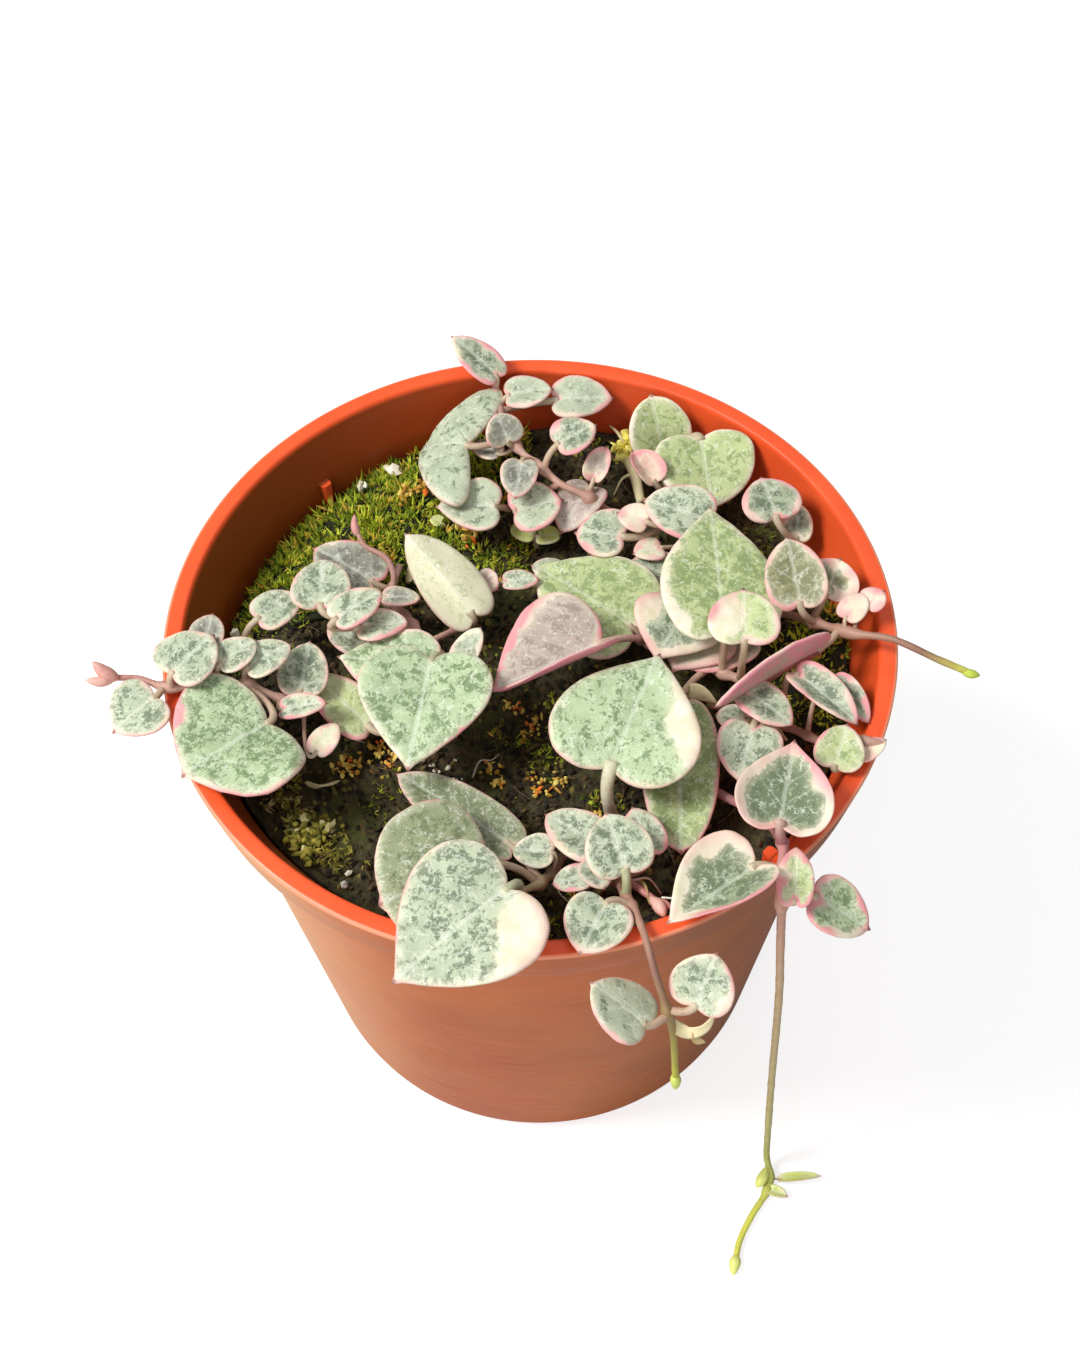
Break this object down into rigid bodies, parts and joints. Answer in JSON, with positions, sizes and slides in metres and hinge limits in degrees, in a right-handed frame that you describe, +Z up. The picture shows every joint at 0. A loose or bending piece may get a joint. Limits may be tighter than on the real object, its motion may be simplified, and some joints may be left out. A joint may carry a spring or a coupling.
{
  "type": "potted string of hearts plant",
  "caption": "Round nursery pot of soil, filled with creeping stems and variegated heart-shaped leaves, some of them hanging over the rim.",
  "frame": {"origin": "centre of the pot's flat underside", "axes": "+Z up along the pot's axis; -Y towards the front, where two stems go over the rim; +X towards the right of the front"},
  "size_m": [0.1134, 0.1118, 0.1002],
  "materials": {
    "pot": "satin orange-brown moulded plastic",
    "soil": "damp dark bark and peat",
    "moss": "soft yellow-green tufts",
    "stem": "smooth brown-purple stem",
    "leaf": "waxy silver and green marbling, pink and cream edges"
  },
  "bodies": {
    "root": {"pot": "pot", "soil": "soil", "moss_back_left": "moss", "moss_right": "moss", "stem_back_left": "stem", "stem_back_right": "stem", "stem_centre": "stem", "stem_front": "stem", "stem_front_left": "stem", "stem_left": "stem", "stem_middle": "stem", "stem_right": "stem", "stem_right_front": "stem", "stem_trailing": "stem", "leaf_back_left_1": "leaf", "leaf_back_left_2": "leaf", "leaf_back_left_3": "leaf", "leaf_back_left_4": "leaf", "leaf_back_left_5": "leaf", "leaf_back_left_6": "leaf", "leaf_back_left_7": "leaf", "leaf_back_left_8": "leaf", "leaf_back_right_1": "leaf", "leaf_back_right_2": "leaf", "leaf_back_right_3": "leaf", "leaf_back_right_4": "leaf", "leaf_centre_1": "leaf", "leaf_centre_2": "leaf", "leaf_centre_3": "leaf", "leaf_centre_4": "leaf", "leaf_centre_5": "leaf", "leaf_centre_6": "leaf", "leaf_front_1": "leaf", "leaf_front_2": "leaf", "leaf_front_3": "leaf", "leaf_front_4": "leaf", "leaf_front_5": "leaf", "leaf_front_left_1": "leaf", "leaf_front_left_2": "leaf", "leaf_left_1": "leaf", "leaf_left_2": "leaf", "leaf_left_3": "leaf", "leaf_left_4": "leaf", "leaf_left_5": "leaf", "leaf_middle_1": "leaf", "leaf_middle_2": "leaf", "leaf_middle_3": "leaf", "leaf_middle_4": "leaf", "leaf_middle_5": "leaf", "leaf_middle_6": "leaf", "leaf_right_1": "leaf", "leaf_right_2": "leaf", "leaf_right_3": "leaf", "leaf_right_4": "leaf", "leaf_right_front_1": "leaf", "leaf_right_front_2": "leaf", "leaf_right_front_3": "leaf", "leaf_trailing_1": "leaf", "leaf_trailing_2": "leaf", "leaf_trailing_3": "leaf"}
  },
  "joints": []
}
